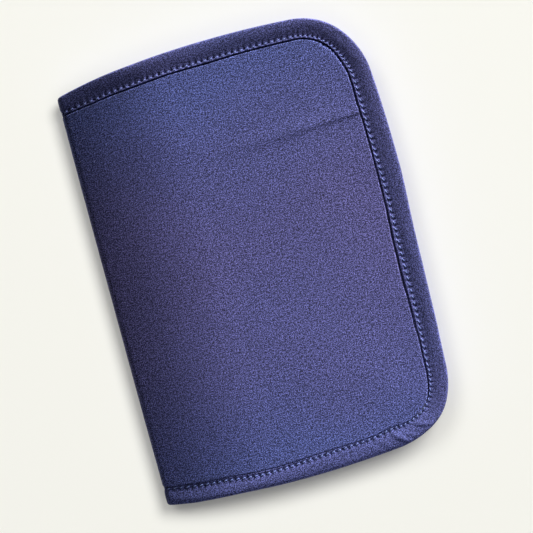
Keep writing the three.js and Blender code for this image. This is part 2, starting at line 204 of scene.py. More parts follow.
# Where the sewn edge strays from its even outline: how far along it, over what length, and how far in.
EDGE_WANDER = (
    (38, 26, -0.3), (144, 14, 0.75), (183, 16, -0.3), (206, 17, -0.6), (236, 30, 0.6), (261, 11, 0.2),
    (285, 15, 0.3), (314, 12, -1.3), (405, 30, -0.2),
)


def bumps(run, rows):
    total = np.zeros(np.shape(run))
    for at, reach, amount in rows:
        total = total + amount * np.exp(-(((run - at) / reach) ** 2))
    return total


def plain_inset(x, y):
    """How far inside the even outline a page point lies."""
    x, y = np.broadcast_arrays(np.asarray(x, float), np.abs(np.asarray(y, float)))
    below_top = (top_y(x) - y) * np.cos(np.arctan(2 * BOW * (x - BOW_CENTRE_X)))
    from_edge = (edge_x(y) - x) * np.cos(np.arctan(2 * FREE_EDGE_BOW * y))
    round_corner = CORNER_RADIUS - np.hypot(x - CORNER_X, y - CORNER_Y)
    in_corner = (x > CORNER_X) & (y > CORNER_Y)
    return np.where(in_corner, round_corner, np.minimum(below_top, from_edge))


def half_height(x, inset):
    """The half height of the outline moved in by an inset, at x."""
    x = np.asarray(x, float)
    radius = CORNER_RADIUS - inset
    corner = CORNER_Y + np.sqrt(np.clip(radius**2 - np.clip(x - CORNER_X, 0, radius) ** 2, 0, None))
    lean = np.arctan(2 * BOW * (x - BOW_CENTRE_X))
    straight = top_y(x) - inset / np.cos(lean)
    reach = CORNER_X + radius * math.sin(CORNER_LEAN)
    return np.where(x > reach, corner, straight)


def edge_reach(inset):
    """How far right a sheet with its edge at an inset reaches, a hair short of the free edge."""
    return CORNER_X + CORNER_RADIUS - inset - HAIR


STITCH_PITCH = 2.85
PER_STITCH = 8  # places along the outline for each stitch
TOP_POINTS, CORNER_POINTS, SIDE_POINTS = 240, 160, 120  # before the outline is cut into even steps
LEAN_REACH = 18  # how far from the fold the outline leans as its curve says


def make_path():
    """The outline from the fold's top end round to its bottom end: x, y and the way out, evenly."""
    xs = np.linspace(START_X, CORNER_START_X, TOP_POINTS)
    lean = np.arctan(2 * BOW * (xs - BOW_CENTRE_X)) * smooth((xs - END_X) / LEAN_REACH)
    turn = np.linspace(CORNER_LEAN, math.pi / 2 - CORNER_TILT, CORNER_POINTS)[1:]
    ys = np.linspace(CORNER_END_Y, 0, SIDE_POINTS)[1:]
    tilt = np.arctan(2 * FREE_EDGE_BOW * ys)
    x = np.concatenate([xs, CORNER_X + CORNER_RADIUS * np.sin(turn), edge_x(ys)])
    y = np.concatenate([top_y(xs), CORNER_Y + CORNER_RADIUS * np.cos(turn), ys])
    nx = np.concatenate([np.sin(lean), np.sin(turn), np.cos(tilt)])
    ny = np.concatenate([np.cos(lean), np.cos(turn), np.sin(tilt)])
    upper = np.stack([x, y, nx, ny], 1)
    lower = upper[:-1][::-1] * np.array([1, -1, 1, -1])
    whole = np.concatenate([upper, lower])
    run = np.concatenate([[0], np.cumsum(np.hypot(*np.diff(whole[:, :2], axis=0).T))])
    steps = int(round(run[-1] / STITCH_PITCH)) * PER_STITCH
    at = np.linspace(0, run[-1], steps + 1)
    path = np.stack([np.interp(at, run, whole[:, i]) for i in range(4)], 1)
    path[:, 2:] /= np.linalg.norm(path[:, 2:], axis=1)[:, None]
    path[:, :2] -= bumps(at, EDGE_WANDER)[:, None] * path[:, 2:]
    return at, path


RUN, PATH = make_path()
RUN_END = RUN[-1]
PITCH = RUN[PER_STITCH]
FIRST_CORNER = float(RUN[np.argmax(PATH[:, 0] > CORNER_START_X)])
TOP_PATH = PATH[RUN < FIRST_CORNER + 1]


def run_of(x, y):
    """How far along the outline a page point near it lies."""
    up = np.abs(y)
    inset = plain_inset(x, y)
    top = np.interp(x + inset * 2 * BOW * (x - BOW_CENTRE_X), TOP_PATH[:, 0], RUN[: len(TOP_PATH)])
    turn = np.arctan2(x - CORNER_X, up - CORNER_Y)
    corner = FIRST_CORNER + CORNER_RADIUS * (turn - CORNER_LEAN)
    half = RUN_END / 2
    side = half - up * (1 + inset * 2 * FREE_EDGE_BOW)
    run = np.where(up > CORNER_END_Y, corner, side)
    run = np.where(x < CORNER_START_X, top, run)
    return np.where(y < 0, RUN_END - run, run)


def inset_of(x, y):
    """How far inside the outline a page point lies."""
    return plain_inset(x, y) - bumps(run_of(x, y), EDGE_WANDER)


# ---------------------------------------------------------------- meshes

UV_SPAN = 500.0  # millimetres across the whole of a UV map


def new_object(name, points_mm, faces, uvs, material):
    """An object from points, faces and one page coordinate, in millimetres, for each point."""
    mesh = bpy.data.meshes.new(name)
    mesh.from_pydata((np.asarray(points_mm) * MM).tolist(), [], faces)
    loops = np.zeros(len(mesh.loops), np.int64)
    mesh.loops.foreach_get("vertex_index", loops)
    layer = mesh.uv_layers.new(name="UVMap")
    layer.data.foreach_set("uv", (np.asarray(uvs)[loops] / UV_SPAN + 0.5).astype(np.float32).ravel())
    mesh.polygons.foreach_set("use_smooth", [True] * len(mesh.polygons))
    mesh.update()
    obj = bpy.data.objects.new(name, mesh)
    bpy.context.scene.collection.objects.link(obj)
    mesh.materials.append(material)
    outwards(obj)
    return obj


def outwards(obj):
    """Turns a closed mesh's faces outwards."""
    mesh = obj.data
    mesh.calc_loop_triangles()
    co = np.zeros(len(mesh.vertices) * 3, np.float32)
    mesh.vertices.foreach_get("co", co)
    co = co.reshape(-1, 3).astype(float)
    tri = np.zeros(len(mesh.loop_triangles) * 3, np.int64)
    mesh.loop_triangles.foreach_get("vertices", tri)
    a, b, c = co[tri.reshape(-1, 3)].transpose(1, 0, 2)
    if np.einsum("ij,ij->i", a, np.cross(b, c)).sum() < 0:
        mesh.flip_normals()


def grid_faces(rows, columns, start=0, close=False):
    r = np.arange(rows - 1)[:, None]
    c = np.arange(columns if close else columns - 1)[None, :]
    nxt = (c + 1) % columns
    quads = np.stack([r * columns + c, r * columns + nxt, (r + 1) * columns + nxt, (r + 1) * columns + c], -1)
    return (quads.reshape(-1, 4) + start).tolist()


def cloth(name, x, y, depths, front, material):
    """A thin closed sheet over a grid of page points. depths(x, y) gives its outer and inner depth."""
    outer, inner = depths(x, y)
    columns, rows = x.shape
    sides = [on_half(x, y, d, front).reshape(-1, 3) for d in (outer, inner)]
    count = columns * rows
    faces = grid_faces(columns, rows)
    faces += [face[::-1] for face in grid_faces(columns, rows, count)]
    first = list(range(rows))
    last = [(columns - 1) * rows + i for i in range(rows)]
    low = [i * rows for i in range(columns)]
    high = [i * rows + rows - 1 for i in range(columns)]
    ring = first + high[1:] + last[::-1][1:] + low[::-1][1:-1]
    for i, a in enumerate(ring):
        b = ring[(i + 1) % len(ring)]
        faces.append([b, a, a + count, b + count])
    uv = np.stack([x, y], -1).reshape(-1, 2)
    return new_object(name, np.concatenate(sides), faces, np.concatenate([uv, uv]), material)


def swept(name, rings, uvs, material):
    """A closed solid from rings of equally many points, capped at both ends."""
    count, around = rings.shape[:2]
    faces = grid_faces(count, around, close=True)
    faces.append(list(range(around))[::-1])
    faces.append([(count - 1) * around + i for i in range(around)])
    return new_object(name, rings.reshape(-1, 3), faces, uvs.reshape(-1, 2), material)


# ---------------------------------------------------------------- materials


class Nodes:
    """A small helper that makes a material's nodes."""

    def __init__(self, name):
        self.material = bpy.data.materials.new(name)
        self.material.use_nodes = True
        self.tree = self.material.node_tree
        self.shader = self.tree.nodes["Principled BSDF"]

    def node(self, kind, **values):
        made = self.tree.nodes.new(kind)
        for key, value in values.items():
            setattr(made, key, value)
        return made

    def link(self, source, target):
        self.tree.links.new(source, target)

    def math(self, operation, a, b=None):
        made = self.node("ShaderNodeMath", operation=operation)
        for socket, value in zip(made.inputs, (a, b)):
            if value is None:
                continue
            if isinstance(value, (int, float)):
                socket.default_value = value
            else:
                self.link(value, socket)
        return made.outputs[0]

    def scaled(self, vector, scale):
        made = self.node("ShaderNodeMapping")
        made.inputs["Scale"].default_value = scale
        self.link(vector, made.inputs["Vector"])
        return made.outputs[0]

    def noise(self, vector, scale, detail=2.0, roughness=0.5):
        made = self.node("ShaderNodeTexNoise")
        made.inputs["Scale"].default_value = scale
        made.inputs["Detail"].default_value = detail
        made.inputs["Roughness"].default_value = roughness
        self.link(vector, made.inputs["Vector"])
        return made.outputs["Fac"]

    def centred(self, value, weight):
        """A 0 to 1 value moved to lie round 0, times a weight."""
        return self.math("MULTIPLY", self.math("SUBTRACT", value, 0.5), weight)

    def total(self, first, *others):
        for other in others:
            first = self.math("ADD", first, other)
        return first

    def page_mm(self):
        """The surface's page coordinates, in millimetres."""
        return self.scaled(self.node("ShaderNodeTexCoord").outputs["UV"], (UV_SPAN, UV_SPAN, 1))

    def toned(self, colour, tone):
        """A colour, or a colour socket, times a tone that lies round 1."""
        made = self.node("ShaderNodeVectorMath", operation="SCALE")
        if isinstance(colour, tuple):
            made.inputs[0].default_value = colour
        else:
            self.link(colour, made.inputs[0])
        self.link(tone, made.inputs["Scale"])
        return made.outputs[0]

    def mixed(self, share, a, b):
        """A mix of two colours, each a tuple or a socket."""
        made = self.node("ShaderNodeMix", data_type="RGBA")
        made.clamp_factor = True
        self.link(share, made.inputs["Factor"])
        for name, colour in (("A", a), ("B", b)):
            if isinstance(colour, tuple):
                made.inputs[name].default_value = (*colour, 1)
            else:
                self.link(colour, made.inputs[name])
        return made.outputs["Result"]

    def raised(self, height, strength, distance):
        """Bumps the surface by a height."""
        made = self.node("ShaderNodeBump")
        made.inputs["Strength"].default_value = strength
        made.inputs["Distance"].default_value = distance
        self.link(height, made.inputs["Height"])
        self.link(made.outputs[0], self.shader.inputs["Normal"])

    def finished(self, colour, values):
        """The material, with its colour and the shader values that are the same all over."""
        self.link(colour, self.shader.inputs["Base Color"])
        for name, value in values.items():
            self.shader.inputs[name].default_value = value
        return self.material


def yarns(n, mm, width):
    """The yarns of a plain weave rise and fall in turn: small pillows, like a chequer, a bit uneven."""
    wander = n.node("ShaderNodeTexNoise")
    wander.inputs["Scale"].default_value = 0.22
    n.link(mm, wander.inputs["Vector"])
    shift = n.node("ShaderNodeVectorMath", operation="MULTIPLY_ADD")
    shift.inputs[1].default_value = (0.9, 0.9, 0)
    n.link(wander.outputs["Color"], shift.inputs[0])
    n.link(mm, shift.inputs[2])
    split = n.node("ShaderNodeSeparateXYZ")
    n.link(n.scaled(shift.outputs[0], (1 / width, 1 / width, 1)), split.inputs[0])
    sx = n.math("SINE", n.math("MULTIPLY", split.outputs[0], math.pi))
    sy = n.math("SINE", n.math("MULTIPLY", split.outputs[1], math.pi))
    ridge = n.math("MULTIPLY", n.math("ABSOLUTE", sx), n.math("ABSOLUTE", sy))
    return n.total(n.math("MULTIPLY", n.math("MULTIPLY", sx, sy), 0.35), ridge)


FADE_REACH = 90  # from halfway up the page to where the dye is bluest


def dyed(n, mm, page_y, colour, faded):
    """The dye is a little redder in some places than in others, and halfway up where it faded."""
    up = n.math("DIVIDE", n.math("SUBTRACT", page_y, UV_SPAN / 2), FADE_REACH)
    blue = n.math("MULTIPLY", n.math("MULTIPLY", up, up), 0.85 * faded)
    blue = n.total(blue, n.centred(n.noise(mm, 0.014, 1.0), 0.8), 0.5 - 0.3 * faded)
    redder, bluer = (1.14, 0.98, 0.95), (0.84, 0.99, 1.04)
    return n.mixed(blue, *(tuple(k * c for k, c in zip(way, colour)) for way in (redder, bluer)))


LINT_X = (-46, -66)  # lint gathers between these, beside the fold
LINT_LIMIT = 0.83  # a fleck shows where its noise is above this


def with_lint(n, mm, page_x, colour, under, more):
    """Sparse pale lint, with more of it beside the fold where asked."""
    limit = n.node("ShaderNodeMapRange")
    limit.inputs["From Min"].default_value = UV_SPAN / 2 + LINT_X[0]
    limit.inputs["From Max"].default_value = UV_SPAN / 2 + LINT_X[1]
    limit.inputs["To Min"].default_value = LINT_LIMIT
    limit.inputs["To Max"].default_value = LINT_LIMIT - more
    n.link(page_x, limit.inputs["Value"])
    flecks = n.noise(mm, 1.15, 0.0)
    pale = n.math("MULTIPLY", n.math("SUBTRACT", flecks, limit.outputs[0]), 14.0)
    return n.mixed(n.math("MAXIMUM", pale, 0.0), under, tuple(min(1.0, 2.2 * c + 0.12) for c in colour))


def woven(name, colour, yarn=0.46, speckle=1.0, bump=0.5, lint=0.0, faded=0.0):
    """Plain-weave cotton: crossing yarns, uneven along their length, with a few slubs and specks."""
    n = Nodes(name)
    mm = n.page_mm()
    page = n.node("ShaderNodeSeparateXYZ")
    n.link(mm, page.inputs[0])
    weave = yarns(n, mm, yarn)
    slub_x = n.noise(n.scaled(mm, (0.18, 2.2, 1)), 1.0, 1.0)
    slub_y = n.noise(n.scaled(mm, (2.2, 0.18, 1)), 1.0, 1.0)
    fine = n.noise(mm, 2.3, 0.0)
    grain = ((slub_x, 1.1), (slub_y, 1.0), (fine, 6.9), (n.noise(mm, 0.95, 1.0), 2.7))
    parts = [n.centred(part, weight * speckle) for part, weight in grain]
    parts += [n.centred(n.noise(mm, 0.035, 3.0), 0.3), n.centred(weave, 0.2)]
    tone = n.math("MAXIMUM", n.total(n.math("ADD", parts[0], 1.0), *parts[1:]), 0.18)
    cloth_colour = n.toned(dyed(n, mm, page.outputs[1], colour, faded), tone)
    height = n.total(n.math("MULTIPLY", weave, 0.6), n.math("MULTIPLY", fine, 0.8),
                     n.math("MULTIPLY", n.total(slub_x, slub_y), 0.35))
    n.raised(height, bump, 0.00012)
    matte = {"Roughness": 0.92, "Specular IOR Level": 0.15, "Sheen Weight": 0.15, "Sheen Roughness": 0.5}
    return n.finished(with_lint(n, mm, page.outputs[0], colour, cloth_colour, lint), matte)


def threaded(name, colour):
    """Twisted sewing thread: fine slanting bands, a little gloss."""
    n = Nodes(name)
    wave = n.node("ShaderNodeTexWave", bands_direction="DIAGONAL")
    wave.inputs["Scale"].default_value = 1.0
    n.link(n.scaled(n.page_mm(), (1.4, 1.4, 1)), wave.inputs["Vector"])
    bands = wave.outputs["Fac"]
    n.raised(bands, 0.4, 0.00005)
    tone = n.math("ADD", n.math("MULTIPLY", bands, 0.3), 0.85)
    return n.finished(n.toned(colour, tone), {"Roughness": 0.45, "Sheen Weight": 0.2})


def fleecy(name, colour):
    """Needled fleece, for the padding."""
    n = Nodes(name)
    fibres = n.noise(n.page_mm(), 0.8, 6.0, 0.7)
    n.raised(fibres, 1.0, 0.0004)
    tone = n.math("ADD", n.math("MULTIPLY", fibres, 0.3), 0.8)
    return n.finished(n.toned(colour, tone), {"Roughness": 1.0})


NAVY = (0.0785, 0.0835, 0.238)
COVER = woven("navy_cover_cotton", NAVY, lint=0.09, faded=1.0)
BINDING = woven("navy_binding_cotton", (0.073, 0.080, 0.228), yarn=0.34, speckle=0.9, bump=0.4)
POCKET = woven("navy_pocket_cotton", (0.088, 0.089, 0.222), speckle=0.8)
TAPE = woven("navy_trim_cotton", (0.074, 0.076, 0.190), yarn=0.34, speckle=0.5, bump=0.35)
LINING = woven("slate_lining_cotton", (0.115, 0.140, 0.250), yarn=0.30, speckle=0.45, bump=0.3)
FLEECE = fleecy("padding_fleece", (0.72, 0.71, 0.67))
THREAD = threaded("periwinkle_thread", (0.185, 0.26, 0.62))


# ---------------------------------------------------------------- the line of the stitches

# Where the stitching and the binding's folded edge wander: how far along the outline, over what
# length, and how far in.
STITCH_INSET = 8.15
STITCH_WANDER = (
    (22, 16, 0.2), (38, 26, 0.28), (72, 20, 0.7), (118, 14, -0.2), (183, 20, 0.8), (206, 17, 0.6),
    (268, 18, -0.2), (339, 6, 0.9), (402, 22, -1.75), (432, 10, -0.6),
)
LIP_BEYOND = 0.8  # from the stitches to the folded edge
LIP_WANDER = (
    (75, 25, 0.1), (110, 7, 0.1), (136, 10, -0.55), (150, 16, 0.45), (170, 7, 0.35), (196, 14, 0.2),
    (213, 9, 0.3), (233, 19, 0.9), (254, 12, 0.95), (270, 9, 0.5), (326, 26, -0.5), (402, 26, 0.7),
)
END_CALM = (4, 14)  # how far from the fold the seams start to wander, and over what length
NARROWER = 0.6  # how much nearer the outer edge the stitches are at the fold


def past(run, start, reach):
    """0 up to a place along the outline and 1 beyond it, turning over a length."""
    return smooth((run - start) / reach)


def from_end(run):
    """0 at either end of the outline, where the two halves meet, and 1 away from it."""
    return past(np.minimum(run, RUN_END - run), *END_CALM)


def seam_run(run, front):
    """The two halves are sewn alike, but the back one's seam starts at the other end."""
    return run if front else RUN_END - run


def stitch_inset(run, front):
    at = seam_run(run, front)
    wander = bumps(at, STITCH_WANDER) + 0.06 * np.sin(at / 7.7 + 2)
    return STITCH_INSET - NARROWER + (wander + NARROWER) * from_end(run)


def lip_inset(run, front):
    at = seam_run(run, front)
    wander = bumps(at, LIP_WANDER) + 0.07 * np.sin(at / 5.3 + 1)
    return stitch_inset(run, front) + LIP_BEYOND + wander * from_end(run)


# ---------------------------------------------------------------- the cover, padding and lining

TRENCH = (1.9, 1.0)  # the depth of the gap between the binding's folded edge and the cover
GAP = 0.86  # its width
SHUT_GAP = 0.42  # its width where it is nearly shut
SHUT_FROM = (292, 26)  # where along the outline it closes, and over what length


def shut(run, front):
    """0 where the gap is open, along two sides, and 0.85 where it is nearly shut, along the third."""
    return 0.85 * past(seam_run(run, front), *SHUT_FROM)


def crease(x, y):
    """The line where the inner pocket's upper edge shows through the front cover, as a depth."""
    t = y - CREASE_Y
    reach = smooth((x + 16) / 46)
    sharp = 0.9 + 2.2 * (1 - smooth((x - 10) / 45))
    above = np.exp(-((np.maximum(t, 0) / 4.2) ** 2))
    below = np.exp(-((np.minimum(t, 0) / sharp) ** 2))
    dip = 0.05 * np.exp(-(((t + 6) / 4) ** 2))
    return reach * (dip - 0.3 * above * below)


def cover_depth(x, y, front):
    inset = inset_of(x, y)
    run = run_of(x, y)
    inside = inset - lip_inset(run, front)
    beside = 1 - smooth(inside / 34)
    depth = COVER_SINK * beside * (1 - shoulder_share(x) * 0.45)
    uneven = 0.05 * ripple(x, y, 3 if front else 4, 60) + 0.007 * ripple(x, y, 5, 12)
    pulled = 0.03 * ripple(x, y, 8, 6) * np.exp(-np.clip(inside, 0, None) / 5)
    in_page = 1 - smooth((SHOULDER_X - 26 - x) / 12)
    depth = depth + np.clip(uneven, -0.15, 0.3) * in_page + pulled
    if front:
        depth = depth + crease(x, y)
    else:
        depth = np.maximum(depth, 0.02)
    closed = shut(run, front)
    gap = GAP - (GAP - SHUT_GAP) * closed
    trench = smooth((gap - inside) / 0.25) * smooth((inside + 0.9) / 0.6)
    tucked = smooth((0.3 - inside) / 0.6)
    depth = depth * (1 - tucked) + TUCK * tucked
    return depth + (taper(TRENCH, x) - depth) * trench * (1 - closed)


FOLD_COLUMNS = 15
EDGE_COLUMNS_X = 52  # from here to the free edge the columns are closer together


def page_columns(last, step, fine):
    """Columns across a page, closer together round the fold and near the free edge."""
    fold = np.linspace(START_X, END_X, FOLD_COLUMNS)
    page = np.arange(END_X, EDGE_COLUMNS_X, step)
    edge = np.arange(EDGE_COLUMNS_X, last, fine)
    return np.concatenate([fold[:-1], page, edge, [last]])


def page_rows(x, inset, step, ends, extra):
    """Rows up a page at every column: at the given distances from both ends, evenly between, and extra."""
    limit = half_height(x, inset)
    between = int((HEIGHT - 2 * ends[-1]) / step)
    v = np.union1d(np.linspace(0, 1, between), np.linspace(*extra))[None, 1:-1]
    low = (-limit + ends[-1])[:, None]
    high = (limit - ends[-1])[:, None]
    middle = low * (1 - v) + high * v
    return np.concatenate([-limit[:, None] + ends[None], middle, limit[:, None] - ends[None, ::-1]], 1)


COARSE_ENDS = np.array([0.0, 3.0, 6.0, 9.0])
FINE_ENDS = np.concatenate([[0.0, 2.0], np.arange(3.6, 9.0, 0.2), [9.8, 10.6, 11.6]])
CREASE_ROWS = (0.745, 0.865, 40)  # extra rows: from and to these shares of the page's height, and how many
NO_MORE_ROWS = (0, 1, 2)


def full_page(name, depths, front, inset, step, material, ends=COARSE_ENDS, extra=NO_MORE_ROWS):
    fine = 0.9 if ends is COARSE_ENDS else 0.35
    columns = page_columns(edge_reach(inset), step, fine)
    y = page_rows(columns, inset, step, ends, extra)
    x = np.repeat(columns[:, None], y.shape[1], 1)
    return cloth(name, x, y, depths, front, material)


CLOTH_THICK = 0.45
LINING_THICK = 0.32


def make_cover(name, front):
    def depths(x, y):
        outer = cover_depth(x, y, front)
        return outer, outer + CLOTH_THICK

    extra = CREASE_ROWS if front else NO_MORE_ROWS
    return full_page(name, depths, front, TUCKED_TO, 1.3, COVER, FINE_ENDS, extra)


def make_padding(name, front):
    def depths(x, y):
        inside = inset_of(x, y) - lip_inset(run_of(x, y), front)
        near_gap = smooth((3.6 - inside) / 1.4)
        outer = cover_depth(x, y, front) * (1 - near_gap) + taper((2.1, 0.9), x) * near_gap
        outer = outer + CLOTH_THICK + 0.08
        return outer, np.maximum(taper(LINING_FACE, x) - 0.5, outer + 0.1)

    return full_page(name, depths, front, TUCKED_TO + 0.4, 2.5, FLEECE)


def make_lining(name, front):
    def depths(x, y):
        soft = 0.05 * ripple(x, y, 21 if front else 22, 22) * smooth((x - END_X - 1) / 6)
        face = taper(LINING_FACE, x) + soft
        return face - LINING_THICK, face

    return full_page(name, depths, front, TUCKED_TO + 0.2, 1.6, LINING)


# ---------------------------------------------------------------- the binding and its stitches

# The outside of the binding as depths, in three parts. The lip's rows are distances beyond the
# folded edge, the web's are shares of the way from the stitches to it, and the roll's are shares of
# the way from the outer edge to the stitches. The roll has three shapes: full, on the top and free
# sides; low, on the bottom side; and flat, round the fold.
LIP_ROWS = ((0.0, 1.05), (0.06, 0.80), (0.03, 0.55), (-0.12, 0.36))
WEB_ROWS = ((0.62, 0.38), (0.3, 0.49))
STITCH_DEPTH = 0.60
ROLL_SHARES = (0.95, 0.86, 0.72, 0.58, 0.44, 0.32, 0.22, 0.14, 0.085, 0.045, 0.015, 0.0)
ROLL_FULL = (0.58, 0.45, 0.22, 0.01, -0.15, -0.25, -0.30, -0.31, -0.29, -0.21, -0.02, 0.6)
ROLL_LOW = (0.56, 0.44, 0.35, 0.31, 0.30, 0.34, 0.42, 0.54, 0.72, 0.96, 1.30, 1.8)
ROLL_FLAT = (0.60, 0.34, 0.11, 0.03, 0.01, 0.02, 0.04, 0.08, 0.16, 0.30, 0.55, 1.0)
ROLL_PULLS = (0.26, 0.05)  # how far the needle holes pull down the roll's first rows
ABOVE_FLOOR = 0.03
PUCKERS = (
    (319.5, 1.0, 0.12), (324, 1.2, 0.44), (328.5, 0.8, 0.18), (332.5, 0.9, 0.24), (337, 1.2, 0.50),
    (341.5, 0.8, 0.18), (345, 1.0, 0.26), (350, 0.9, 0.08), (128, 1.2, 0.05), (136, 1.4, 0.06),
    (149, 1.3, 0.05),
)
PUCKER_SLANT = 1.1
HIGH_BEFORE = (92, 40)  # the full roll is higher up to here, but not at the fold
LOW_FROM = (318, 40)  # the roll is low from here
LESS_LOW_FROM = (396, 26)  # and less so again near the fold
SLOPING_FROM = (372, 16)  # here the web slopes straight down to the folded edge
INNER_RIM = (
    (0.0, 0.45), (0.012, 0.68), (0.05, 0.84), (0.13, 0.94), (0.28, 0.99), (0.5, 1.0), (0.72, 0.97),
    (0.9, 0.95),
)
INNER_TIP = ((-0.45, 0.945), (-0.15, 0.94), (0.02, 0.915), (-0.02, 0.885))


def roll_depths(run, x):
    """The roll's depths at places along the outline, mixed from its three shapes."""
    low = past(run, *LOW_FROM)[:, None] - 0.65 * past(run, *LESS_LOW_FROM)[:, None]
    flat = smooth((END_X + 6 - x) / 8)[:, None]
    high = 1.25 - 0.25 * past(run, *HIGH_BEFORE)[:, None] - 0.75 * smooth((38 - run) / 26)[:, None]
    valley = ROLL_FULL[0]
    full = (valley + (np.array(ROLL_FULL) - valley) * high) * (1 - low) + np.array(ROLL_LOW) * low
    return full * (1 - flat) + np.array(ROLL_FLAT) * flat


def eased(run, inset, front):
    """Small slanting folds where the binding is eased round the corners, and a slight unevenness."""
    at = seam_run(run, front)
    across = np.sin(math.pi * np.clip((inset - 0.4) / 7.6, 0, 1)) ** 0.8
    folds = bumps(at - PUCKER_SLANT * (inset - 4), PUCKERS)
    uneven = 0.035 * ripple(at, inset * 2, 71, 9) + 0.012 * ripple(at, inset, 72, 2.6)
    return (folds * (1.0 if front else 0.5) + uneven * from_end(run)) * across


def needle_hole(run):
    """0.7 at a needle hole, where the cloth is pulled down, and -0.3 between two holes."""
    return (0.5 + 0.5 * np.cos(2 * math.pi * run / PITCH)) ** 3 - 0.3


def outside_rows(run, x, lip, stitch, front):
    """The binding from its folded edge over the stitches to the outer edge."""
    hole = needle_hole(run)
    rows = [(lip + beyond, np.full_like(run, depth)) for beyond, depth in LIP_ROWS]
    straight = past(seam_run(run, front), *SLOPING_FROM)
    foot = STITCH_DEPTH + 0.14
    for share, depth in WEB_ROWS:
        sloping = foot + (LIP_ROWS[-1][1] - foot) * share
        depth = depth + (sloping - depth) * straight + 0.26 * (1 - share) * hole
        rows.append((stitch + share * (lip - stitch), depth))
    rows.append((stitch, STITCH_DEPTH + 0.75 * hole))
    pulls = ROLL_PULLS + (0,) * (len(ROLL_SHARES) - len(ROLL_PULLS))
    depths = roll_depths(run, x)
    for i, (share, pull) in enumerate(zip(ROLL_SHARES, pulls)):
        inset = stitch * share
        rows.append((inset, depths[:, i] + pull * hole - eased(run, inset, front)))
    if front:
        return rows
    return [(inset, np.maximum(depth, ABOVE_FLOOR)) for inset, depth in rows]


def inside_rows(run, x, lip, stitch):
    """The binding from its outer edge along the inside to its inner lip, and back between the layers."""
    face = taper(INNER_FACE, x)
    inner_lip = stitch + 1.3
    rows = [(stitch * share, face * depth) for share, depth in INNER_RIM]
    rows.append((stitch, face * 0.915 - 0.2 * needle_hole(run)))
    rows += [(inner_lip + beyond, face * depth) for beyond, depth in INNER_TIP]
    outer_end = np.full_like(run, 1.5)
    under = np.full_like(run, TUCK - 0.05)
    rows += [(inner_lip - 0.4, face * 0.875), (outer_end, face * 0.875)]
    rows += [(outer_end, under), (stitch - 0.4, under), (lip - 0.25, under)]
    return rows


def section(run, x, front):
    """The binding's outline at each place along it: insets and depths round a closed loop."""
    lip, stitch = lip_inset(run, front), stitch_inset(run, front)
    rows = outside_rows(run, x, lip, stitch, front) + inside_rows(run, x, lip, stitch)
    return tuple(np.stack(column, 1) for column in zip(*rows))


def at_inset(run, inset):
    """Page points at an inset from the outline, at places along it."""
    columns = [np.interp(run, RUN, PATH[:, i]) for i in range(4)]
    x, y, nx, ny = columns
    if np.ndim(inset) > np.ndim(run):
        x, y, nx, ny = (c[:, None] for c in columns)
    return x - inset * nx, y - inset * ny


def make_binding(name, front):
    inset, depth = section(RUN, PATH[:, 0], front)
    x, y = at_inset(RUN, inset)
    rings = on_half(x, y, depth, front)
    around = np.cumsum(np.hypot(np.diff(inset, prepend=0, axis=1), np.diff(depth, prepend=0, axis=1)), 1)
    uv = np.stack([np.broadcast_to(RUN[:, None], inset.shape), around], -1)
    return swept(name, rings, uv, BINDING)


NEEDLE_THREAD, BOBBIN_THREAD, POCKET_THREAD = 0.15, 0.17, 0.16  # half a thread's thickness
OUTWARDS, INWARDS = 1, -1  # the side of the page that a stitch lies on
POCKET_PITCH = 2.5
HALF_STITCH = 0.33  # half a stitch's length, as a share of the pitch


def stitches(name, lines, front, thick):
    """Separate stitches in one mesh. A line is its place as a function of the run, and its start, end,
    pitch and side."""
    rings, around = 9, 8
    angle = np.linspace(0, 2 * math.pi, around, endpoint=False)
    t = np.linspace(-1, 1, rings)
    points, uvs, faces = [], [], []
    for place, start, end, pitch, side_of_page in lines:
        for k in range(int((end - start) / pitch)):
            run = start + (k + 0.5) * pitch + t * pitch * HALF_STITCH
            x, y, depth = place(run)
            dive = 0.75 * np.abs(t) ** 4 - 0.1
            radius = thick * np.sqrt(np.clip(1 - 0.75 * t**4, 0.05, 1))
            tangent = np.gradient(np.stack([x, y], 1), axis=0)
            tangent /= np.linalg.norm(tangent, axis=1)[:, None]
            side = np.cos(angle)[None, :] * radius[:, None]
            rise = np.sin(angle)[None, :] * radius[:, None]
            px = x[:, None] - tangent[:, 1:2] * side
            py = y[:, None] + tangent[:, 0:1] * side
            base = len(points) * rings * around
            depth = depth[:, None] + side_of_page * (dive[:, None] + rise)
            points.append(on_half(px, py, depth, front))
            uvs.append(np.stack([np.broadcast_to(run[:, None], px.shape), side + rise], -1))
            faces += grid_faces(rings, around, base, close=True)
            faces.append([base + i for i in range(around)][::-1])
            faces.append([base + (rings - 1) * around + i for i in range(around)])
    return new_object(name, np.concatenate([p.reshape(-1, 3) for p in points]), faces,
                      np.concatenate([u.reshape(-1, 2) for u in uvs]), THREAD)


def needle_line(front):
    """The stitches slant across the seam a little, each from hole to hole."""
    def place(run):
        slant = 0.24 * np.sin(2 * math.pi * run / PITCH)
        x, y = at_inset(run, stitch_inset(run, front) + slant)
        return x, y, STITCH_DEPTH - 0.1 - 0.08 * past(seam_run(run, front), 290, 30)

    return place, 0, RUN_END + 0.01, PITCH, OUTWARDS


def bobbin_line(front):
    def place(run):
        x, y = at_inset(run, stitch_inset(run, front))
        return x, y, taper(INNER_FACE, x) * 0.915 + 0.08

    return place, 0, RUN_END + 0.01, PITCH, INWARDS


# ---------------------------------------------------------------- pockets

TAPE_THICK = 0.16
TAPE_OFF = 0.04  # the gap between the tape and the sheet it is folded over
SEWN_SHEET = 0.14  # how thin a pocket sheet is where it is sewn down
INNER_LIP = STITCH_INSET + 1.3
UNDER_LIP = 5.0  # how near the outer edge the pocket cloth reaches, under the binding


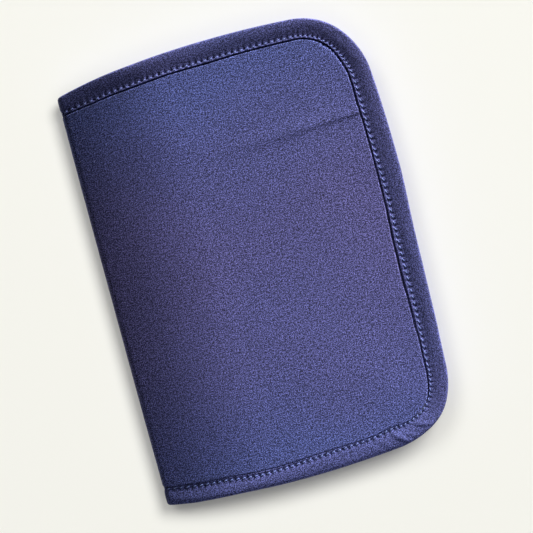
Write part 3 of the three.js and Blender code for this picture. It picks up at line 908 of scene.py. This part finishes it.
def pressed(layer, x):
    """The depth of a layer of pocket cloth where it is pressed under the binding."""
    return taper(LINING_FACE, x) + 0.03 + 0.15 * layer


def loose_share(x, y, first_x):
    """0 where a pocket sheet is sewn down, under the binding and beside the fold, and 1 away from it."""
    return smooth((inset_of(x, y) - INNER_LIP + 0.6) / 6) * smooth((x - first_x + 0.2) / 6)


def calm_share(x, y, first_x):
    return smooth((inset_of(x, y) - INNER_LIP) / 8) * smooth((x - first_x) / 8)


def flat_depths(seed):
    """A pocket sheet that lies on the lining."""
    def depths(x, y):
        free = FIRST_SHEET - LINING_FACE[0] + taper(LINING_FACE, x)
        low = pressed(0, x)
        calm = calm_share(x, y, POCKET_X)
        outer = low + (free - low) * loose_share(x, y, POCKET_X) + 0.035 * ripple(x, y, seed, 19) * calm
        return outer, outer + SEWN_SHEET + (SHEET - SEWN_SHEET) * calm

    return depths


SEWN_REACH = 14  # how far above a card slot's seam its sheet is free


def card_depths(layer, bottom, under, seed):
    """A card slot's sheet is sewn down on the document pocket at its side and bottom, and free between."""
    def depths(x, y):
        up = smooth((y - bottom) / SEWN_REACH)
        sewn = 0.02 + 0.15 * (layer - 1)
        outer = under(x, y)[1] + sewn + (layer * LAYER - SHEET - sewn) * loose_share(x, y, CARD_X) * up
        calm = calm_share(x, y, CARD_X) * up
        outer = outer + 0.03 * ripple(x, y, seed, 19) * calm
        return outer, outer + SEWN_SHEET + (SHEET - SEWN_SHEET) * calm

    return depths


POCKET_STEP = 1.6
LOWEST_SEAM = -90


def mouth_y(top, first_x, sag):
    """The height of a pocket's mouth: it dips a little between its ends."""
    last = edge_reach(INNER_LIP)

    def height(x):
        along = np.clip((x - first_x) / (last - first_x), 0, 1)
        return top - sag * np.sin(math.pi * along) ** 2

    return height


def pocket(name, top, first_x, bottom, depths, front, sag):
    high = mouth_y(top, first_x, sag)
    last = edge_reach(UNDER_LIP)
    columns = np.linspace(first_x, last, int((last - first_x) / POCKET_STEP))
    limit = half_height(columns, UNDER_LIP)
    low_y = np.maximum(-limit, bottom)
    high_y = np.minimum(high(columns), limit - 0.5)
    v = np.linspace(0, 1, int((top - max(bottom, LOWEST_SEAM)) / POCKET_STEP))[None, :]
    y = low_y[:, None] * (1 - v) + high_y[:, None] * v
    x = np.repeat(columns[:, None], y.shape[1], 1)
    return cloth(name, x, y, depths, front, POCKET)


def trim(name, top, first_x, depths, front, sag):
    """The tape folded over a pocket's mouth, rounded where it turns over the edge."""
    high = mouth_y(top, first_x, sag)
    last = edge_reach(UNDER_LIP)
    across = np.linspace(first_x, last, 900)
    within = across[half_height(across, UNDER_LIP) > top + 0.6]
    xs = np.arange(first_x + 0.1, within[-1], 0.6)
    outer, inner = TAPE_OFF + TAPE_THICK, TAPE_OFF
    # How far below the mouth each row is, and how far it stands off the sheet's face.
    outside = [(TRIM, outer * 0.7), (TRIM - 0.25, outer), (TRIM - 1.1, outer * 0.75), (TRIM - 1.9, outer)]
    outside += [(TRIM / 2, outer * 1.1), (0.8, outer * 1.1), (0.1, outer * 0.9), (-0.22, 0.03)]
    inside = [(-0.06, 0.01), (0.3, inner), (TRIM / 2, inner), (TRIM - 1.1, inner * 0.6), (TRIM - 0.05, inner)]
    loop = [(-1, *row) for row in outside] + [(1, *row) for row in outside[::-1]]
    loop += [(1, *row) for row in inside[::-1]] + [(-1, *row) for row in inside]
    side, below, off = np.array(loop).T
    mouth = high(xs)[:, None]
    x = np.repeat(xs[:, None], len(loop), 1)
    y = mouth - below
    outer_face, inner_face = depths(x, np.minimum(y, mouth - 0.05))
    depth = np.where(side > 0, inner_face, outer_face) + side * off
    uvs = np.stack([x, np.broadcast_to(below * side, x.shape)], -1)
    return swept(name, on_half(x, y, depth, front), uvs, TAPE)


PASSPORT_SEAM = FIRST_SHEET + LAYER
PASSPORT_RISE = 5.75
PASSPORT_REACH = 70  # the height over which the passport pocket rises from its bottom seam


def passport_depths(x, y):
    """The passport pocket stands off the page in a low arch, with room for a passport behind it."""
    across = np.clip((x - POCKET_X) / (edge_reach(INNER_LIP) - POCKET_X), 0, 1)
    up = np.clip((half_height(x, INNER_LIP) + y) / PASSPORT_REACH, 0, 1)
    side = 1 - (2 * across - 1) ** 4
    seam = 1 - (1 - up) ** 3
    low = pressed(1, x)
    seated = PASSPORT_SEAM - LINING_FACE[0] + taper(LINING_FACE, x)
    inside = smooth((inset_of(x, y) - INNER_LIP + 0.6) / 5) * smooth((x - POCKET_X + 0.2) / 5)
    base = low + (seated - low) * inside
    outer = base + (PASSPORT_RISE + 0.1 * ripple(x, y, 31, 24)) * side * seam
    return outer, outer + SEWN_SHEET + (SHEET - SEWN_SHEET) * inside


def trim_stitch_line(top, first_x, depths, sag, end_x):
    """Topstitching along the lower edge of a pocket's tape."""
    high = mouth_y(top, first_x, sag)

    def place(run):
        y = high(run) - TRIM + 1.1
        return run, y, depths(run, y)[1] + 0.12

    return place, first_x + 2.2, end_x, POCKET_PITCH, INWARDS


def side_stitch_line(x_line, low, high, depths):
    def place(run):
        x = np.full_like(run, x_line)
        return x, run, depths(x, run)[1]

    return place, low, high, POCKET_PITCH, INWARDS


def bottom_stitch_line(y_line, first_x, last_x, depths):
    def place(run):
        y = np.full_like(run, y_line)
        return run, y, depths(run, y)[1]

    return place, first_x, last_x, POCKET_PITCH, INWARDS


# ---------------------------------------------------------------- the two halves

BODIES = {False: ("back_half", "spine"), True: ("spine", "front_half")}


def bends_with(piece):
    """Cloth that crosses the fold: its placing is baked into its mesh, and it is tied to neither body."""
    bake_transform(piece)


# Each part's slot, and the fold's nodes that the back half's piece stands for as well.
PARTS = {
    "cover": ("cover_fabric", ["spine_cover"]),
    "padding": ("padding", ["spine_interlining"]),
    "lining": ("lining_fabric", ["spine_lining"]),
    "binding": ("binding_fabric", ["spine_binding_bottom", "spine_binding_top"]),
    "needle_thread": ("thread", []),
    "bobbin_thread": ("thread", []),
}


def make_half(front):
    side = "front" if front else "back"
    cover = make_cover(f"{side}_cover_cloth", front)
    padding = make_padding(f"{side}_fleece", front)
    lining = make_lining(f"{side}_lining_cloth", front)
    binding = make_binding(f"{side}_binding_tape", front)
    needle = stitches(f"{side}_needle_stitches", [needle_line(front)], front, NEEDLE_THREAD)
    bobbin = stitches(f"{side}_bobbin_stitches", [bobbin_line(front)], front, BOBBIN_THREAD)
    made = (cover, padding, lining, binding, needle, bobbin)
    for piece, (part, (slot, of_fold)) in zip(made, PARTS.items()):
        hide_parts(f"{side}_{part}", *([] if front else of_fold))
        bends_with(piece)


TO_THE_BOTTOM = -200  # below the outline, so a pocket reaches down to the binding
MOUTH_SAG = 0.5
PASSPORT_SAG = 0.9
SEAM_IN = 1.5  # from a pocket's side to the seam along it
SEAM_LOW = -85


def add_pocket(name, top, first_x, bottom, depths, front, sag=MOUTH_SAG):
    body = BODIES[front][1 if front else 0]
    sheet = pocket(f"{name}_cloth", top, first_x, bottom, depths, front, sag)
    tape = trim(f"{name}_tape", top, first_x, depths, front, sag)
    for piece, node, slot in ((sheet, name, "pocket_fabric"), (tape, f"{name}_trim", "trim_fabric")):
        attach(piece, body)
        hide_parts(node)


def make_back_pockets():
    ticket = flat_depths(41)
    add_pocket("ticket_pocket", TICKET_TOP, POCKET_X, TO_THE_BOTTOM, ticket, False)
    add_pocket("passport_pocket", PASSPORT_TOP, POCKET_X, TO_THE_BOTTOM, passport_depths, False, PASSPORT_SAG)
    lip_x = edge_reach(INNER_LIP)
    lines = [
        trim_stitch_line(TICKET_TOP, POCKET_X, ticket, MOUTH_SAG, 42),
        trim_stitch_line(PASSPORT_TOP, POCKET_X, passport_depths, PASSPORT_SAG, lip_x - 0.5),
        side_stitch_line(POCKET_X + SEAM_IN, PASSPORT_TOP + 1, TICKET_TOP - TRIM - 1, ticket),
        side_stitch_line(POCKET_X + SEAM_IN, SEAM_LOW, PASSPORT_TOP - TRIM - 1, passport_depths),
    ]
    piece = stitches("back_pocket_stitches", lines, False, POCKET_THREAD)
    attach(piece, "back_half")


def make_front_pockets():
    document = flat_depths(51)
    add_pocket("document_pocket", DOCUMENT_TOP, POCKET_X, TO_THE_BOTTOM, document, True)
    lip_x = edge_reach(INNER_LIP)
    lines = [
        trim_stitch_line(DOCUMENT_TOP, POCKET_X, document, MOUTH_SAG, lip_x - 1),
        side_stitch_line(POCKET_X + SEAM_IN, SEAM_LOW, DOCUMENT_TOP - TRIM - 1, document),
    ]
    for i, top in enumerate(CARD_TOPS):
        depths = card_depths(i + 1, top - CARD_DEPTH, document, 60 + i)
        add_pocket(f"card_slot_{i + 1}", top, CARD_X, top - CARD_DEPTH, depths, True)
        lines.append(trim_stitch_line(top, CARD_X, depths, MOUTH_SAG, lip_x - 0.5))
        below = CARD_TOPS[i + 1] + 0.8 if i + 1 < len(CARD_TOPS) else top - CARD_DEPTH + SEAM_IN
        lines.append(side_stitch_line(CARD_X + SEAM_IN, below, top - TRIM - 1, depths))
    piece = stitches("front_pocket_stitches", lines, True, POCKET_THREAD)
    seam_y = CARD_TOPS[-1] - CARD_DEPTH + 1.6
    seam_line = bottom_stitch_line(seam_y, CARD_X + 3, lip_x - 2, depths)
    seam = stitches("card_seam_stitches", [seam_line], True, POCKET_THREAD)
    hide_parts("card_slot_side_thread")
    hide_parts("card_slot_bottom_thread")
    for made in (piece, seam):
        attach(made, "front_half")


make_half(False)
make_half(True)
make_back_pockets()
make_front_pockets()


# ---------------------------------------------------------------- floor, light and camera

OBJECT = bpy.data.collections.new("lit_object")
FLOOR = bpy.data.collections.new("lit_floor")
FLOOR_REACH = 1.6
FLOOR_DROP = 0.0002  # so that the floor and the folder don't share a plane


def make_floor():
    mesh = bpy.data.meshes.new("floor")
    corners = [(FLOOR_REACH * x, FLOOR_REACH * y, 0) for x, y in ((-1, -1), (1, -1), (1, 1), (-1, 1))]
    mesh.from_pydata(corners, [], [(0, 1, 2, 3)])
    floor = bpy.data.objects.new("floor", mesh)
    floor.location.z = -FLOOR_DROP
    bpy.context.scene.collection.objects.link(floor)
    n = Nodes("pale_floor")
    n.shader.inputs["Base Color"].default_value = (0.90, 0.895, 0.845, 1)
    n.shader.inputs["Roughness"].default_value = 0.95
    n.shader.inputs["Specular IOR Level"].default_value = 0.1
    mesh.materials.append(n.material)
    floor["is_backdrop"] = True
    FLOOR.objects.link(floor)


def area_light(name, azimuth, elevation, distance, size, power, colour, receivers, target=(0, 0, 0.01)):
    """A soft light that falls on one collection. Azimuth is counted from +X towards +Y."""
    data = bpy.data.lights.new(name, "AREA")
    data.shape = "DISK"
    data.size = size
    data.energy = power
    data.color = colour
    light = bpy.data.objects.new(name, data)
    a, e = math.radians(azimuth), math.radians(elevation)
    way = Vector((math.cos(e) * math.cos(a), math.cos(e) * math.sin(a), math.sin(e)))
    light.location = Vector(target) + way * distance
    light.rotation_euler = way.to_track_quat("Z", "Y").to_euler()
    bpy.context.scene.collection.objects.link(light)
    light.light_linking.receiver_collection = receivers


def make_lights():
    world = bpy.data.worlds.new("soft_room")
    world.use_nodes = True
    background = world.node_tree.nodes["Background"]
    background.inputs["Color"].default_value = (1.0, 1.0, 1.0, 1)
    background.inputs["Strength"].default_value = 0.03
    bpy.context.scene.world = world
    # A low light from the right shapes the cover, and a small one fills the lower edge. The floor has
    # its own three, for its soft shadow.
    area_light("low_key", 45, 11.6, 3.6, 1.0, 497, (1.0, 0.99, 0.97), OBJECT)
    area_light("low_end_fill", -68, 54, 0.25, 0.1, 0.21, (0.93, 0.96, 1.0), OBJECT, (0.035, -0.10, 0.01))
    area_light("floor_light", 40, 60, 4.0, 1.9, 93, (1.0, 1.0, 0.985), FLOOR)
    area_light("floor_side", 116, 62, 4.0, 1.6, 31, (1.0, 1.0, 0.985), FLOOR)
    area_light("floor_overhead", 0, 89, 4.0, 5.0, 77, (1.0, 1.0, 0.985), FLOOR)


VIEW_ROLL = math.radians(-15.26)
VIEW_WIDTH = 0.236926  # across the picture, at the top of the folder
VIEW_DISTANCE = 1.0
VIEW_CENTRE = (0.0010, -0.0044)


def make_camera():
    data = bpy.data.cameras.new("camera")
    data.sensor_width = 36
    data.lens = data.sensor_width * VIEW_DISTANCE / VIEW_WIDTH
    data.clip_start = 0.01
    camera = bpy.data.objects.new("camera", data)
    camera.location = (*VIEW_CENTRE, THICK * MM + VIEW_DISTANCE)
    camera.rotation_euler = (0, 0, VIEW_ROLL)
    bpy.context.scene.collection.objects.link(camera)
    bpy.context.scene.camera = camera


def link_object():
    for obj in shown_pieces():
        OBJECT.objects.link(obj)


make_floor()
link_object()
make_lights()
make_camera()
bpy.context.scene.view_settings.view_transform = "Standard"
